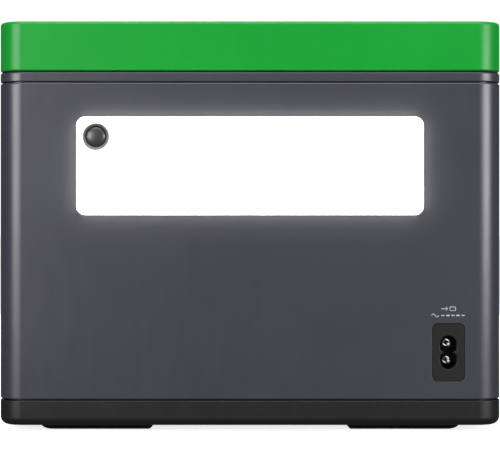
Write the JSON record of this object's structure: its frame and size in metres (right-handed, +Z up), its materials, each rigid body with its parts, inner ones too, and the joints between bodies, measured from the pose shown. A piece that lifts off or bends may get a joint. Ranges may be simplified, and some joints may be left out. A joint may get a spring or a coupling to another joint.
{
  "type": "portable power station",
  "caption": "Rounded-box battery power station with folding top handle, rear area lamp and inlet, and front outlets, ports and display.",
  "frame": {"origin": "on the floor under the middle of the box", "axes": "+Z up, +X to the right as seen from the rear lamp face, -Y out of the rear lamp face, +Y out of the front control face"},
  "size_m": [0.25, 0.186, 0.2035],
  "materials": {
    "grey_shell": "fine texture, satin",
    "black_shell": "fine texture",
    "green_cover": "satin",
    "foot_rubber": "matte",
    "cap_rubber": "matte",
    "grip_rubber": "ribbed",
    "steel": "nickel plated",
    "lamp_lens": "opal",
    "white_plastic": "satin",
    "bezel": "satin metallic",
    "button": "gloss",
    "inlet": "satin",
    "fascia": "fine texture",
    "display": "polished",
    "outlet": "satin",
    "circuit_board": "solder mask",
    "cell_wrap": "shrink wrap",
    "copper": "wound wire",
    "aluminium": "extruded",
    "lead_red": "satin",
    "lead_black": "satin"
  },
  "bodies": {
    "station": {"housing": "grey_shell", "collar_band": "grey_shell", "base_tray": "black_shell", "top_cover": "green_cover", "foot_rear_left": "foot_rubber", "foot_rear_right": "foot_rubber", "foot_front_left": "foot_rubber", "foot_front_right": "foot_rubber", "base_screw_rear_left": "steel", "base_screw_rear_right": "steel", "base_screw_front_left": "steel", "base_screw_front_right": "steel", "lamp_diffuser": "lamp_lens", "lamp_reflector": "white_plastic", "lamp_board": "white_plastic", "lamp_button_bezel": "bezel", "lamp_switch": "black_shell", "inlet_body": "inlet", "inlet_pin_upper": "steel", "inlet_pin_lower": "steel", "front_fascia": "fascia", "display_window": "display", "display_module": "white_plastic", "ac_outlet_upper": "outlet", "ac_outlet_lower": "outlet", "usb_a_port_upper": "steel", "usb_a_port_lower": "steel", "usb_c_port": "steel", "car_socket": "outlet", "dc_input_jack": "outlet", "control_board": "circuit_board", "port_board": "circuit_board", "vent_grille_right": "grey_shell", "vent_grille_left": "grey_shell", "fan_frame": "black_shell", "handle_pin_right": "steel", "handle_pin_left": "steel", "battery_tray": "black_shell", "cell_group_1": "cell_wrap", "cell_group_2": "cell_wrap", "cell_group_3": "cell_wrap", "cell_group_4": "cell_wrap", "cell_group_5": "cell_wrap", "cell_group_6": "cell_wrap", "cell_group_7": "cell_wrap", "battery_cover": "black_shell", "bms_board": "circuit_board", "inverter_board": "circuit_board", "transformer": "copper", "heat_sink": "aluminium", "battery_lead_positive": "lead_red", "battery_lead_negative": "lead_black"},
    "handle": {"handle_bail": "black_shell", "handle_grip": "grip_rubber"},
    "lamp_button": {"lamp_button": "button"},
    "power_button": {"power_button": "button"},
    "ac_button": {"ac_button": "button"},
    "dc_button": {"dc_button": "button"},
    "fan_rotor": {"fan_rotor": "black_shell"},
    "socket_cap": {"car_socket_cap": "cap_rubber"}
  },
  "joints": [
    {"name": "handle_fold", "type": "hinge", "parent": "station", "child": "handle", "pos_m": [0, 0, 0.1975], "axis": [1, 0, 0], "range_deg": [0, 90]},
    {"name": "lamp_button_press", "type": "slide", "parent": "station", "child": "lamp_button", "axis": [0, 1, 0], "range_m": [0, 0.0012], "stiffness_N_per_m": 1500},
    {"name": "power_button_press", "type": "slide", "parent": "station", "child": "power_button", "axis": [0, -1, 0], "range_m": [0, 0.0012], "stiffness_N_per_m": 1500},
    {"name": "ac_button_press", "type": "slide", "parent": "station", "child": "ac_button", "axis": [0, -1, 0], "range_m": [0, 0.0012], "stiffness_N_per_m": 1500},
    {"name": "dc_button_press", "type": "slide", "parent": "station", "child": "dc_button", "axis": [0, -1, 0], "range_m": [0, 0.0012], "stiffness_N_per_m": 1500},
    {"name": "fan_spin", "type": "hinge", "parent": "station", "child": "fan_rotor", "pos_m": [0.125, 0, 0.122], "axis": [1, 0, 0], "continuous": true},
    {"name": "socket_cap_swing", "type": "hinge", "parent": "station", "child": "socket_cap", "pos_m": [-0.068, 0.0903, 0.0986], "axis": [1, 0, 0], "range_deg": [0, 150]}
  ]
}
